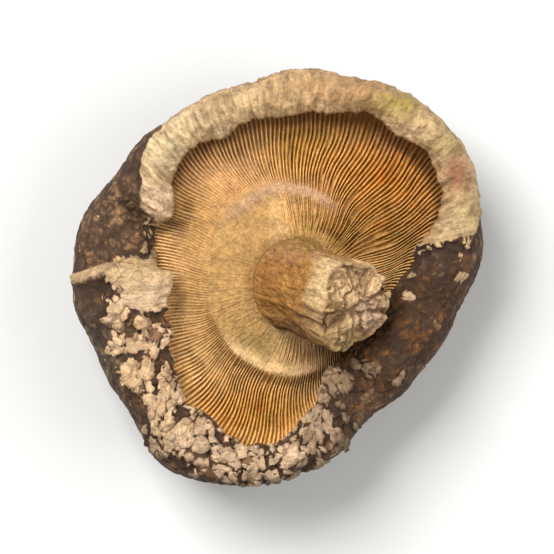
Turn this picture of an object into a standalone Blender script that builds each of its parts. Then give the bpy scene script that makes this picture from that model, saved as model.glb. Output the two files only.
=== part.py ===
"""A dried shiitake mushroom, lying on the crown of its cap with the gills up.

The origin is under the gill centre, on the flat spot that the mushroom rests on. +Z is up, out of the gills.
The mushroom is one piece of flesh, so it is one closed skin. It starts as a sphere, and each meridian of it
becomes a profile of the mushroom: from the crown, over the domed cap, round the rolled rim, down into the
gills, across them to the stem, and up the stem to its cut end. Angles run from +X towards +Y.
"""

import math

import bmesh
import bpy
import numpy as np

MM = 0.001

# The cap. Outline and lip are distances from the gill centre, one every 30 degrees.
OUTLINE = np.array((23.6, 27.0, 26.7, 24.6, 23.3, 24.1, 25.2, 23.6, 26.2, 24.3, 20.6, 20.6)) * MM
LIP = np.array((14.6, 22.9, 22.9, 20.0, 18.9, 15.2, 13.3, 15.6, 19.2, 20.0, 13.0, 12.8)) * MM
CREST_HEIGHT = np.array((14.4, 16.6, 17.6, 17.2, 16.6, 15.6, 15.8, 16.4, 17.0, 16.6, 15.4, 14.6)) * MM
EQUATOR_SHARE = 0.56
FLAT_RADIUS = 6.0 * MM
DOME_FULLNESS = 0.95
DENT_LENGTH = 14.0 * MM
DENT_DEPTH = 0.5 * MM
LIP_DROP = 0.6 * MM
LIP_SLOPE = 0.12

# The lip is thin. Its edge leans a little inwards, and its underside starts a little further out.
LIP_THICKNESS = 1.7 * MM
LIP_EDGE_SHARE = 0.4
LIP_EDGE_LEAN = 0.05 * MM
LIP_UNDERCUT = 0.25 * MM

# The roll of the rim leaves the equator with a bulge, stands over the crest, and leans in towards the lip.
ROLL_BULGE = 0.2 * MM
ROLL_FULLNESS = 1.25
ROLL_TOP = 0.9 * MM
ROLL_LEAN = 0.35

# Waves round the outline, the lip and the crest, each set with its height, its number and where it starts
OUTLINE_WAVES = ((0.25 * MM, 9, 0.6), (0.2 * MM, 14, 0.0))
LIP_WAVES = ((0.22 * MM, 11, 2.0), (0.18 * MM, 19, 0.0))
CREST_WAVES = ((0.25 * MM, 8, 0.0), (0.2 * MM, 17, 1.0))

# The gills: two columns of the sphere for each, one on its edge and one in the groove beside it.
GILLS = 64
COLUMNS = 2 * GILLS
GILL_DEPTH = 2.5 * MM
GILL_LOW = 11.0 * MM
GILL_TUCK = 0.7 * MM
GILL_TUCK_SHARE = 0.17
GILL_DROP = 0.6 * MM
GILL_BEND = 0.05
RIM_SLOPE_WIDTH = 4.0 * MM
ROOT_SLOPE_FROM = 8.5 * MM
ROOT_SLOPE_WIDTH = 2.6 * MM
GROOVE_FADES_IN = 5.5 * MM
GROOVE_FADES_OUT = 2.0 * MM

# The gills near the stem have dried together into a smooth shelf, widest towards the left.
GILL_SHELF = 13.0 * MM
SHELF_RADIUS = 12.6 * MM
SHELF_CENTRE = 1.2 * MM
SHELF_SQUEEZE = 1.19
SHELF_EDGE_WIDTH = 1.8 * MM
SHELF_TOWARDS = math.radians(175)

# The stem leans over to the right. Its path is a curve from root to tip, drawn towards the bend, and its cut
# end faces higher up than the path does. The flare of its foot ends at a share of the path.
STEM_ROOT = np.array((2.3, -0.4, 12.0)) * MM
STEM_BEND = np.array((2.8, -0.7, 15.6)) * MM
STEM_TIP = np.array((9.0, -3.2, 20.2)) * MM
STEM_ROOT_RADIUS = 5.6 * MM
STEM_WAIST_RADIUS = 4.7 * MM
STEM_TIP_RADIUS = 5.2 * MM
STEM_FLARE_END = 0.45
STEM_CUT_LIFT = 0.35
STEM_RAGGED = 0.6 * MM
STEM_END_DOME = 0.9 * MM

# Ridges down the stem, each set with its height as a share of the radius, its number, start and twist
STEM_RIDGES = ((0.07, 3, 1.3, 1.5), (0.04, 5, 0.2, -2.2), (0.03, 9, 2.0, 3.0))

# The split in the rim at the left: the rim is sunk from one angle to the other, and stands up just past it.
SPLIT_FROM = math.radians(148)
SPLIT_TO = math.radians(176)
SPLIT_SINKS_OVER = math.radians(9)
SPLIT_ENDS_OVER = math.radians(3)
FLAP_FADES_OVER = math.radians(17)
SPLIT_SINK = 2.2 * MM
SPLIT_OPEN = 2.0 * MM
FLAP_RISE = 1.1 * MM

# The cracked scales on the rim
SCALE_SIZE = 3.5 * MM
SCALE_RISE = 0.75 * MM
CRACK_WIDTH = 2.6 * MM
SCALE_SEED = 7
SCALE_ROWS_BEFORE_RIM = 3
SCALE_FADE_ROWS = 5
SCALE_SHARE_AT_LIP = 0.4
RIM_FLESH_ROWS = 6

# Rows of the sphere in each stretch of the profile
FLAT_ROWS = 2
DOME_ROWS = 9
ROLL_ROWS = 11
UNDER_LIP_ROWS = 3
GILL_ROWS = 9
STEM_ROWS = 7
END_RINGS = (0.8, 0.42)
SKIN_ROWS = FLAT_ROWS + DOME_ROWS + ROLL_ROWS
ROWS = SKIN_ROWS + UNDER_LIP_ROWS + GILL_ROWS + STEM_ROWS + len(END_RINGS)

COLOURS = {
    "cap_skin": (0.085, 0.040, 0.020, 1.0),
    "rim_scales": (0.50, 0.34, 0.19, 1.0),
    "gills": (0.50, 0.24, 0.065, 1.0),
    "stem": (0.42, 0.27, 0.14, 1.0),
}


def clear_scene():
    for obj in list(bpy.data.objects):
        bpy.data.objects.remove(obj)


def smooth(x):
    """0 up to x = 0, 1 from x = 1, and an even S between."""
    x = np.clip(x, 0.0, 1.0)
    return x * x * (3.0 - 2.0 * x)


def around(values, angle):
    """The values, spread evenly round a full turn, joined by one smooth closed curve (Catmull-Rom)."""
    count = len(values)
    place = (np.asarray(angle) / (2.0 * math.pi) % 1.0) * count
    first = np.floor(place).astype(int)
    f = place - first
    before, a, b, after = (values[(first + k) % count] for k in (-1, 0, 1, 2))
    curl = 2 * before - 5 * a + 4 * b - after + f * (3 * (a - b) + after - before)
    return a + 0.5 * f * (b - before + f * curl)


def polar(distance, angle, height, centre=(0.0, 0.0)):
    """Points at these distances and heights from an upright axis."""
    x = centre[0] + distance * np.cos(angle)
    y = centre[1] + distance * np.sin(angle)
    return np.stack([x, y, np.broadcast_to(height, np.shape(x))], axis=-1)


def split(angle):
    """1 in the sunken stretch of the rim, with a slow start and a sudden end."""
    sunk = smooth((angle - SPLIT_FROM) / SPLIT_SINKS_OVER)
    return sunk * (1.0 - smooth((angle - SPLIT_TO) / SPLIT_ENDS_OVER))


def flap(angle):
    """1 on the raised edge just past the split, and less and less beyond it."""
    past = angle - SPLIT_TO
    return smooth(past / SPLIT_ENDS_OVER) * (1.0 - smooth((past - SPLIT_ENDS_OVER) / FLAP_FADES_OVER))


def waves(sets, angle):
    """The sum of sets of waves round the rim."""
    return sum(height * np.sin(count * angle + start) for height, count, start in sets)


def rim_shape(angle):
    """The outline, the lip and the heights of crest and lip at each angle."""
    outline = around(OUTLINE, angle) + waves(OUTLINE_WAVES, angle)
    lip = around(LIP, angle) + waves(LIP_WAVES, angle) + SPLIT_OPEN * split(angle)
    crest = around(CREST_HEIGHT, angle) + waves(CREST_WAVES, angle)
    crest = crest - SPLIT_SINK * split(angle) + FLAP_RISE * flap(angle)
    lip_height = crest - LIP_DROP - LIP_SLOPE * (outline - lip)
    return outline, lip, crest, lip_height


def flat_spot(angle):
    """The rings of the flat spot under the crown, all at height 0."""
    return [polar(FLAT_RADIUS * (k + 1) / FLAT_ROWS, angle, 0.0) for k in range(FLAT_ROWS)]


def dome(angle):
    """The domed skin: a quarter of an ellipse from the flat spot out to the equator, with shallow dents."""
    outline, _, crest, _ = rim_shape(angle)
    rows = []
    for k in range(DOME_ROWS):
        turn = 0.5 * math.pi * (k + 1) / DOME_ROWS
        out = FLAT_RADIUS + (outline - FLAT_RADIUS) * math.sin(turn) ** DOME_FULLNESS
        place = polar(out, angle, EQUATOR_SHARE * crest * (1.0 - math.cos(turn)))
        wave_x, wave_y = 2 * math.pi * place[:, 0] / DENT_LENGTH, 2 * math.pi * place[:, 1] / DENT_LENGTH
        dent = np.sin(wave_x + 0.7 * wave_y) + np.sin(1.3 * wave_y - 0.8 * wave_x + 1.0) + 1.0
        place[:, 2] += DENT_DEPTH * math.sin(turn) * math.sin(2 * turn) * np.maximum(dent, 0.0)
        rows.append(place)
    return rows


def roll(angle):
    """The rolled rim: a Bezier curve from the equator, up over the crest and in to the lip."""
    outline, lip, crest, lip_height = rim_shape(angle)
    start = EQUATOR_SHARE * crest
    points = (
        (outline, start),
        (outline + ROLL_BULGE, start + ROLL_FULLNESS * (crest - start)),
        (lip + ROLL_LEAN * (outline - lip), crest + ROLL_TOP),
        (lip, lip_height),
    )
    rows = []
    for k in range(ROLL_ROWS):
        t = (k + 1) / ROLL_ROWS
        weights = ((1 - t) ** 3, 3 * t * (1 - t) ** 2, 3 * t * t * (1 - t), t**3)
        out = sum(w * p[0] for w, p in zip(weights, points))
        height = sum(w * p[1] for w, p in zip(weights, points))
        rows.append(polar(out, angle, height))
    return rows


def gill_end(angle):
    """How far out the gills run under the lip, and the height of their edges there."""
    outline, lip, _, lip_height = rim_shape(angle)
    return lip + GILL_TUCK + GILL_TUCK_SHARE * (outline - lip), lip_height - LIP_THICKNESS - GILL_DROP


def under_lip(angle):
    """The thickness of the lip, and its underside out to where the gills end."""
    _, lip, _, lip_height = rim_shape(angle)
    end, end_height = gill_end(angle)
    return [
        polar(lip - LIP_EDGE_LEAN, angle, lip_height - LIP_EDGE_SHARE * LIP_THICKNESS),
        polar(lip + LIP_UNDERCUT, angle, lip_height - LIP_THICKNESS),
        polar(end, angle, end_height),
    ]


def gills(angle):
    """The pleats from the rim in to the stem. Every second column is an edge, and the next one a groove."""
    end, end_height = gill_end(angle)
    groove = np.arange(COLUMNS) % 2
    towards_shelf = 0.5 + 0.5 * np.cos(angle - SHELF_TOWARDS)
    rows = []
    for k in range(GILL_ROWS):
        share = (k + 1) / GILL_ROWS
        out = end + (STEM_ROOT_RADIUS - end) * share
        centre = STEM_ROOT[:2] * share
        bend = GILL_BEND * np.sin(3 * angle + 7 * share) * math.sin(math.pi * share)
        place = polar(out, angle + bend, 0.0, centre)
        from_centre = np.hypot(SHELF_SQUEEZE * (place[:, 0] - SHELF_CENTRE), place[:, 1])
        on_shelf = towards_shelf * smooth((SHELF_RADIUS - from_centre) / SHELF_EDGE_WIDTH + 0.3)
        shelf = (GILL_SHELF - GILL_LOW) * on_shelf
        rise = (end_height - GILL_LOW) * smooth((out - end) / RIM_SLOPE_WIDTH + 1.0)
        root = (STEM_ROOT[2] - GILL_LOW) * smooth((ROOT_SLOPE_FROM - out) / ROOT_SLOPE_WIDTH)
        depth = GILL_DEPTH * smooth((out - STEM_ROOT_RADIUS) / GROOVE_FADES_IN) * (1.0 - 0.5 * on_shelf)
        depth = depth * smooth((end - out) / GROOVE_FADES_OUT + 0.15)
        place[:, 2] = GILL_LOW + np.maximum(np.maximum(shelf, rise), root) - groove * depth
        rows.append(place)
    return rows


def stem_ring(angle, t, radius, push=0.0):
    """A ring round the stem's curved path at t, with ridges down its sides. It turns up at the cut end."""
    centre = (1 - t) ** 2 * STEM_ROOT + 2 * t * (1 - t) * STEM_BEND + t * t * STEM_TIP
    along = (1 - t) * (STEM_BEND - STEM_ROOT) + t * (STEM_TIP - STEM_BEND)
    along = along / np.linalg.norm(along) + (0.0, 0.0, STEM_CUT_LIFT * smooth(2 * t - 1))
    along = along / np.linalg.norm(along)
    side = np.array((1.0, 0.0, 0.0)) - along[0] * along
    side = side / np.linalg.norm(side)
    other = np.cross(along, side)
    ridges = sum(
        height * np.sin(count * angle + start + twist * t) for height, count, start, twist in STEM_RIDGES
    )
    reach = (radius * (1.0 + ridges * smooth(3 * t)))[:, None]
    slant = np.broadcast_to(push, np.shape(angle))[:, None]
    return centre + slant * along + reach * (np.cos(angle)[:, None] * side + np.sin(angle)[:, None] * other)


def stem(angle):
    """The stem's sides: a flared foot, a waist, and a slightly thicker cut end with a ragged edge."""
    ragged = STEM_RAGGED * (np.sin(2 * angle + 0.7) + 0.5 * np.sin(5 * angle))
    rows = []
    for k in range(STEM_ROWS):
        t = (k + 1) / STEM_ROWS
        radius = STEM_WAIST_RADIUS
        radius += (STEM_ROOT_RADIUS - STEM_WAIST_RADIUS) * (1 - smooth(t / STEM_FLARE_END))
        radius += (STEM_TIP_RADIUS - STEM_WAIST_RADIUS) * smooth(2 * t - 1)
        rows.append(stem_ring(angle, t, radius, t**6 * ragged))
    for share in END_RINGS:
        dome_rise = STEM_END_DOME * (1 - share**4) + share * ragged
        rows.append(stem_ring(angle, 1.0, share * STEM_TIP_RADIUS, dome_rise))
    return rows


def outward(grid):
    """The unit normal at each point of a grid of rows and columns that closes round its columns."""
    along = np.gradient(grid, axis=0)
    across = np.roll(grid, -1, axis=1) - np.roll(grid, 1, axis=1)
    normal = np.cross(across, along)
    return normal / np.maximum(np.linalg.norm(normal, axis=2, keepdims=True), 1e-12)


def scale_rise(grid):
    """How far each point stands up as a scale: flat on a scale, 0 along the cracks between scales."""
    random = np.random.RandomState(SCALE_SEED)
    first = FLAT_ROWS + DOME_ROWS - SCALE_ROWS_BEFORE_RIM
    band = grid[first:SKIN_ROWS]
    points = band.reshape(-1, 3)
    order = random.permutation(len(points))
    seeds = []
    for i in order:
        if all(np.linalg.norm(points[i] - seed) > SCALE_SIZE for seed in seeds):
            seeds.append(points[i])
    distance = np.linalg.norm(points[:, None] - np.array(seeds)[None], axis=2)
    distance.sort(axis=1)
    rise = SCALE_RISE * smooth((distance[:, 1] - distance[:, 0]) / CRACK_WIDTH)
    fade = smooth((np.arange(len(band)) + 1) / SCALE_FADE_ROWS)[:, None]
    whole = np.zeros(grid.shape[:2])
    whole[first:SKIN_ROWS] = rise.reshape(band.shape[:2]) * fade
    whole[SKIN_ROWS - 1] *= SCALE_SHARE_AT_LIP
    return whole


def profile_grid():
    """Every ring of the mushroom from crown to stem tip, as an array of rows, columns and x, y, z."""
    angle = np.arange(COLUMNS) * 2.0 * math.pi / COLUMNS
    rows = flat_spot(angle) + dome(angle) + roll(angle) + under_lip(angle) + gills(angle) + stem(angle)
    grid = np.array(rows)
    return grid + outward(grid) * scale_rise(grid)[:, :, None]


def material(name):
    made = bpy.data.materials.new(name)
    made.use_nodes = True
    shader = made.node_tree.nodes["Principled BSDF"]
    shader.inputs["Base Color"].default_value = COLOURS[name]
    shader.inputs["Roughness"].default_value = 0.85
    shader.inputs["Metallic"].default_value = 0.0
    return made


def finish_of(row):
    """The index of the finish between this row and the one before it."""
    if row < SKIN_ROWS - RIM_FLESH_ROWS:
        return 0
    if row < SKIN_ROWS + UNDER_LIP_ROWS - 1:
        return 1
    if row < SKIN_ROWS + UNDER_LIP_ROWS + GILL_ROWS:
        return 2
    return 3


def make_mushroom(collection):
    """Bends a sphere into the mushroom, with the crown at one pole and the stem's end at the other."""
    grid = profile_grid()
    end = stem_ring(np.zeros(1), 1.0, 0.0, STEM_END_DOME)[0]
    mesh = bpy.data.meshes.new("mushroom")
    shape = bmesh.new()
    bmesh.ops.create_uvsphere(shape, u_segments=COLUMNS, v_segments=ROWS + 1, radius=1.0)
    row_of = {}
    for vert in shape.verts:
        row = round((math.pi - math.acos(max(-1.0, min(1.0, vert.co.z)))) * (ROWS + 1) / math.pi) - 1
        column = round(math.atan2(vert.co.y, vert.co.x) * COLUMNS / (2.0 * math.pi)) % COLUMNS
        row_of[vert] = row
        if row < 0:
            vert.co = (0.0, 0.0, 0.0)
        elif row == ROWS:
            vert.co = end
        else:
            vert.co = grid[row, column]
    for face in shape.faces:
        face.material_index = finish_of(max(row_of[vert] for vert in face.verts))
    shape.to_mesh(mesh)
    shape.free()
    for name in COLOURS:
        mesh.materials.append(material(name))
    mesh.shade_smooth()
    mesh.set_sharp_from_angle(angle=math.radians(50))
    collection.objects.link(bpy.data.objects.new("mushroom", mesh))


def main():
    clear_scene()
    collection = bpy.data.collections.new("dried_shiitake")
    bpy.context.scene.collection.children.link(collection)
    make_mushroom(collection)


main()
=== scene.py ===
"""The looks of a dried shiitake mushroom, lying on the crown of its cap with the gills up.

Sizes in the sections are in millimetres, and angles run from +X towards +Y, seen from above. Every mesh is a
grid of rows and columns that numpy works out whole. Millimetres become metres when it is put into Blender.
"""

import math

import bpy
import numpy as np
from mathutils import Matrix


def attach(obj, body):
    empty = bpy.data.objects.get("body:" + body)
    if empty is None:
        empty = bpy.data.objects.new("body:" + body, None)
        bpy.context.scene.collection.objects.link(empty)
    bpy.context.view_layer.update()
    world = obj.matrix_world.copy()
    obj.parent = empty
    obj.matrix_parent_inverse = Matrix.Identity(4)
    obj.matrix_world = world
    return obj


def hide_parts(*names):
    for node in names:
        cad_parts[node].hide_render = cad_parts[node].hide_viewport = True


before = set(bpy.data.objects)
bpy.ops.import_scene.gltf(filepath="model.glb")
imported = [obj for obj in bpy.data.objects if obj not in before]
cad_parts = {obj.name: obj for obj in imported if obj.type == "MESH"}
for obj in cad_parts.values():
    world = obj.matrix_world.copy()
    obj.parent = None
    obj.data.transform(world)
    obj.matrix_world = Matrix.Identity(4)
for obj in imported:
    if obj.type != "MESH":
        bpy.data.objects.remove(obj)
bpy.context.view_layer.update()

# The camera looks straight down on the gills, from far enough away that the view is almost flat. Its values
# are in metres, but for the sensor's, and the view has its width at the height of the rim.
VIEW_WIDTH = 0.0665
RIM_HEIGHT = 0.017
CAMERA_HEIGHT = 0.42
LOOK_AT = (-0.0002, 0.0004)
SENSOR_WIDTH = 36.0

camera_data = bpy.data.cameras.new("camera")
camera_data.sensor_width = SENSOR_WIDTH
camera_data.lens = SENSOR_WIDTH * (CAMERA_HEIGHT - RIM_HEIGHT) / VIEW_WIDTH
camera_data.clip_start = 0.01
camera_data.clip_end = 10.0
camera = bpy.data.objects.new("camera", camera_data)
camera.location = (LOOK_AT[0], LOOK_AT[1], CAMERA_HEIGHT)
bpy.context.scene.collection.objects.link(camera)
bpy.context.scene.camera = camera

# The cap. One dome of tough flesh with a dark brown skin, dried hard. Its rim has rolled in over the gills,
# and the skin there has cracked and come away in flakes, so that cream flesh shows. At the left the rim is
# torn open, and the thick edge of the tear stands up.
#
# Outline, lip and crest have one value every 30 degrees.
OUTLINE = np.array((23.6, 27.0, 26.7, 24.6, 23.3, 24.1, 25.2, 23.6, 26.2, 24.3, 20.6, 20.6))
LIP = np.array((14.6, 22.9, 22.9, 20.0, 18.9, 15.2, 13.3, 15.6, 19.2, 20.0, 13.0, 12.8))
CREST_HEIGHT = np.array((14.4, 16.6, 17.6, 17.2, 16.6, 15.6, 15.8, 16.4, 17.0, 16.6, 15.4, 14.6))
EQUATOR_SHARE = 0.56
FLAT_RADIUS = 6.0
LIP_THICKNESS = 1.7
LIP_DROP = 0.6
LIP_DROP_SHARE = 0.12
DENT_LENGTH = 14.0
DENT_DEPTH = 0.5
GILL_FLOOR = 8.2
GILL_END_STEP = 0.7
GILL_END_SHARE = 0.17

# The split in the rim, the flap beside it, and a stretch where the rim is narrower. Angles are in radians.
SPLIT_FROM = math.radians(148)
SPLIT_TO = math.radians(176)
SPLIT_SINKS_OVER = 0.157
SPLIT_ENDS_OVER = 0.052
SPLIT_SINK = 2.2
SPLIT_OPENS = 2.0
FLAP_RISE = 1.1
FLAP_FADES_OVER = 0.297
NARROW_FROM = math.radians(112)
NARROW_TO = math.radians(136)
NARROW_FADES_OVER = 0.3
NARROW_BY = 1.0

# The torn edge sways: it is turned one way at the outline, and the other way from SWAY_LENGTH further in.
TEAR_AT = math.radians(177.2)
TEAR_WIDTH = 0.025
TEAR_WIDER = 0.020
TEAR_STARTS = math.radians(2.8)
TEAR_LEANS = math.radians(2.0)
SWAY_FROM = math.radians(160)
SWAY_TO = math.radians(180)
SWAY_BEGINS_OVER = 0.26
SWAY_ENDS_OVER = 0.3
SWAY_OUTSIDE = 25.6
SWAY_LENGTH = 7.0

CAP_COLUMNS = 570
FLAT_ROWS = 14
DOME_ROWS = 62
ROLL_ROWS = 86
LIP_ROWS = 8
FLOOR_ROWS = 3
POLE_RING = 0.03

# How much of the rim is bare flesh (1 is all of it), and where on the roll the flesh begins (0 is at the
# equator, 1 at the lip), with one value every 15 degrees. A share below 0 keeps flesh off beside it too.
FLESH_SHARE = np.array(
    (-0.7, 1.0, 1.0, 1.0, 1.0, 1.0, 1.0, 1.0, 1.0, 1.0, 0.97, 0.50,
     0.40, 0.54, 0.62, 0.64, 0.72, 0.82, 0.82, 0.76, 0.60, 0.18, 0.12, 0.12)
)
FLESH_BEGINS = np.array(
    (0.45, 0.20, 0.08, 0.06, 0.06, 0.06, 0.06, 0.06, 0.10, 0.36, 0.62, 0.84,
     0.45, 0.42, 0.42, 0.42, 0.34, 0.22, 0.20, 0.26, 0.40, 0.45, 0.50, 0.50)
)
# Large patches of bare flesh: x, y, half widths across and along, and how much is bare.
FLESH_PATCHES = (
    (-16.1, -1.2, 3.8, 4.0, 1.25),
    (-16.8, 0.8, 3.6, 1.5, 1.25),
    (-16.8, -7.6, 2.3, 1.6, 1.15),
    (-17.0, -11.2, 2.3, 2.0, 1.00),
    (-12.4, -19.2, 4.0, 2.3, 1.00),
    (-2.0, -22.2, 6.5, 2.0, 0.90),
    (6.6, -18.2, 4.0, 3.0, 0.84),
    (10.4, -10.9, 2.0, 1.1, 0.95),
    (14.6, -11.9, 1.5, 1.1, 0.55),
)
# The skin cracks into cells of two sizes. The creases of the flesh are laid round a ring, drawn out upwards.
LARGE_CELL = 3.1
SMALL_CELL = 1.3
CREASE_STRETCH = 0.28
FIBRE_RING = 23.0


def smooth(x):
    """0 up to x = 0, 1 from x = 1, and an even S between."""
    x = np.clip(x, 0.0, 1.0)
    return x * x * (3.0 - 2.0 * x)


def around(values, angle):
    """The values, spread evenly round a full turn, joined by one smooth closed curve (Catmull-Rom)."""
    count = len(values)
    place = (np.asarray(angle) / (2.0 * math.pi) % 1.0) * count
    first = np.floor(place).astype(int)
    f = place - first
    before, a, b, after = (values[(first + k) % count] for k in (-1, 0, 1, 2))
    curl = 2 * before - 5 * a + 4 * b - after + f * (3 * (a - b) + after - before)
    return a + 0.5 * f * (b - before + f * curl)


def scatter(corner, seed):
    """A repeatable draw from 0 to 1 for each corner of a lattice: its whole numbers, mixed and folded."""
    mixed = np.uint32(seed * 7919 + 13)
    for axis, factor in enumerate((73856093, 19349663, 83492791)):
        mixed = mixed ^ (corner[..., axis].astype(np.int64) * factor).astype(np.uint32)
    for shift, factor in ((16, 2246822519), (13, 3266489917)):
        mixed = (mixed ^ (mixed >> np.uint32(shift))) * np.uint32(factor)
    return ((mixed ^ (mixed >> np.uint32(16))) & np.uint32(0xFFFFFF)).astype(float) / 0xFFFFFF


def noise(points, size, seed):
    """Smooth random waves from -1 to 1 of about this size: draws at a lattice's corners, blended between."""
    place = points / size
    low = np.floor(place)
    f = smooth(place - low)
    total = np.zeros(points.shape[:-1])
    for corner in np.ndindex(2, 2, 2):
        weight = np.prod(np.where(corner, f, 1.0 - f), axis=-1)
        total += weight * scatter(low + corner, seed)
    return 2.0 * total - 1.0


def layered(points, size, seed, layers=3):
    """Random waves of this size with fainter ones on top, each half the size and height of the last."""
    waves = sum(noise(points, size / 2**k, seed + k) / 2**k for k in range(layers))
    return waves / (2.0 - 2.0 ** (1 - layers))


def cells(points, size, seed):
    """Random cells of about this size: how far each point is from its cell's border, and the cell's draw."""
    place = points / size
    low = np.floor(place)
    nearest = np.full(points.shape[:-1], 9.0)
    second = np.full(points.shape[:-1], 9.0)
    draw = np.zeros(points.shape[:-1])
    for step in np.ndindex(3, 3, 3):
        corner = low + np.array(step) - 1
        seat = corner + np.stack([scatter(corner, seed + k) for k in (1, 2, 3)], axis=-1)
        distance = np.linalg.norm(place - seat, axis=-1)
        closer = distance < nearest
        second = np.where(closer, nearest, np.minimum(second, distance))
        draw = np.where(closer, scatter(corner, seed + 4), draw)
        nearest = np.where(closer, distance, nearest)
    return (second - nearest) * size, draw


def spot(points, x, y, across, along):
    """1 at (x, y) and less and less away from it, seen from above: a bell with these half widths."""
    return np.exp(-(((points[..., 0] - x) / across) ** 2) - ((points[..., 1] - y) / along) ** 2)


def patch(points, x, y, across, along):
    """1 on a patch round (x, y) and 0 off it, seen from above: a bell with a flat top and steep sides."""
    return np.exp(-(((points[..., 0] - x) / across) ** 4) - ((points[..., 1] - y) / along) ** 4)


def outward(grid):
    """The unit normal at each point of a grid that closes round its columns: across times along."""
    along = np.gradient(grid, axis=0)
    across = np.roll(grid, -1, axis=1) - np.roll(grid, 1, axis=1)
    normal = np.cross(across, along)
    return normal / np.maximum(np.linalg.norm(normal, axis=2, keepdims=True), 1e-12)


def polar(distance, angle, height, centre=(0.0, 0.0)):
    """Points at these distances and heights from an upright axis."""
    x = centre[0] + distance * np.cos(angle)
    y = centre[1] + distance * np.sin(angle)
    return np.stack([x, y, np.broadcast_to(height, np.shape(x))], axis=-1)


def rim_shape(angle):
    """The outline, the lip and the heights of crest and lip: smooth curves with waves and the split."""
    past_split = smooth((angle - SPLIT_TO) / SPLIT_ENDS_OVER)
    split = smooth((angle - SPLIT_FROM) / SPLIT_SINKS_OVER) * (1.0 - past_split)
    flap = past_split * (1.0 - smooth((angle - SPLIT_TO - SPLIT_ENDS_OVER) / FLAP_FADES_OVER))
    narrow = smooth((angle - NARROW_FROM) / NARROW_FADES_OVER)
    narrow = narrow * (1.0 - smooth((angle - NARROW_TO) / NARROW_FADES_OVER))
    outline = around(OUTLINE, angle) + 0.25 * np.sin(9 * angle + 0.6) + 0.2 * np.sin(14 * angle)
    lip = around(LIP, angle) + 0.22 * np.sin(11 * angle + 2.0) + 0.18 * np.sin(19 * angle)
    lip = lip + SPLIT_OPENS * split + NARROW_BY * narrow
    crest = around(CREST_HEIGHT, angle) + 0.25 * np.sin(8 * angle) + 0.2 * np.sin(17 * angle + 1.0)
    crest = crest - SPLIT_SINK * split + FLAP_RISE * flap
    return outline, lip, crest, crest - LIP_DROP - LIP_DROP_SHARE * (outline - lip)


def gill_end(outline, lip):
    """How far from the axis the gills end, tucked in under the lip by more where the rim is wider."""
    return lip + GILL_END_STEP + GILL_END_SHARE * (outline - lip)


def cap_skeleton(angle):
    """The cap without its relief, a ring for each row.

    The rings are a flat spot, a quarter ellipse up to the equator with waves pressed into it, a cubic Bezier
    over the rim, straight steps round the lip, and a flat floor of flesh that the gills cover.
    """
    outline, lip, crest, lip_height = rim_shape(angle)
    rows = [polar(FLAT_RADIUS * share, angle, 0.0) for share in np.linspace(POLE_RING, 1.0, FLAT_ROWS)]
    for rise in np.linspace(0.0, 0.5 * math.pi, DOME_ROWS + 1)[1:]:
        out = FLAT_RADIUS + (outline - FLAT_RADIUS) * math.sin(rise) ** 0.95
        place = polar(out, angle, EQUATOR_SHARE * crest * (1.0 - math.cos(rise)))
        wave_x, wave_y = 2 * math.pi * place[:, 0] / DENT_LENGTH, 2 * math.pi * place[:, 1] / DENT_LENGTH
        dent = np.sin(wave_x + 0.7 * wave_y) + np.sin(1.3 * wave_y - 0.8 * wave_x + 1.0) + 1.0
        place[:, 2] += DENT_DEPTH * math.sin(rise) * math.sin(2 * rise) * np.maximum(dent, 0.0)
        rows.append(place)
    start = EQUATOR_SHARE * crest
    bends = (
        (outline, start),
        (outline + 0.2, start + 1.25 * (crest - start)),
        (lip + 0.35 * (outline - lip), crest + 0.9),
        (lip, lip_height),
    )
    for t in np.linspace(0.0, 1.0, ROLL_ROWS + 1)[1:]:
        weights = ((1 - t) ** 3, 3 * t * (1 - t) ** 2, 3 * t * t * (1 - t), t**3)
        out = sum(w * b[0] for w, b in zip(weights, bends))
        rows.append(polar(out, angle, sum(w * b[1] for w, b in zip(weights, bends))))
    end = gill_end(outline, lip)
    under = (
        (lip, lip_height),
        (lip - 0.05, lip_height - 0.4 * LIP_THICKNESS),
        (lip + 0.25, lip_height - LIP_THICKNESS),
        (end + 0.4, lip_height - LIP_THICKNESS - 0.3),
        (end + 0.3, GILL_FLOOR + 0.5),
    )
    for a, b in zip(under, under[1:]):
        for share in np.linspace(0.0, 1.0, LIP_ROWS // 4 + 1)[1:]:
            rows.append(polar(a[0] + share * (b[0] - a[0]), angle, a[1] + share * (b[1] - a[1])))
    for share in np.linspace(1.0, POLE_RING, FLOOR_ROWS):
        rows.append(polar(end * share, angle, GILL_FLOOR))
    return np.array(rows)


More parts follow.
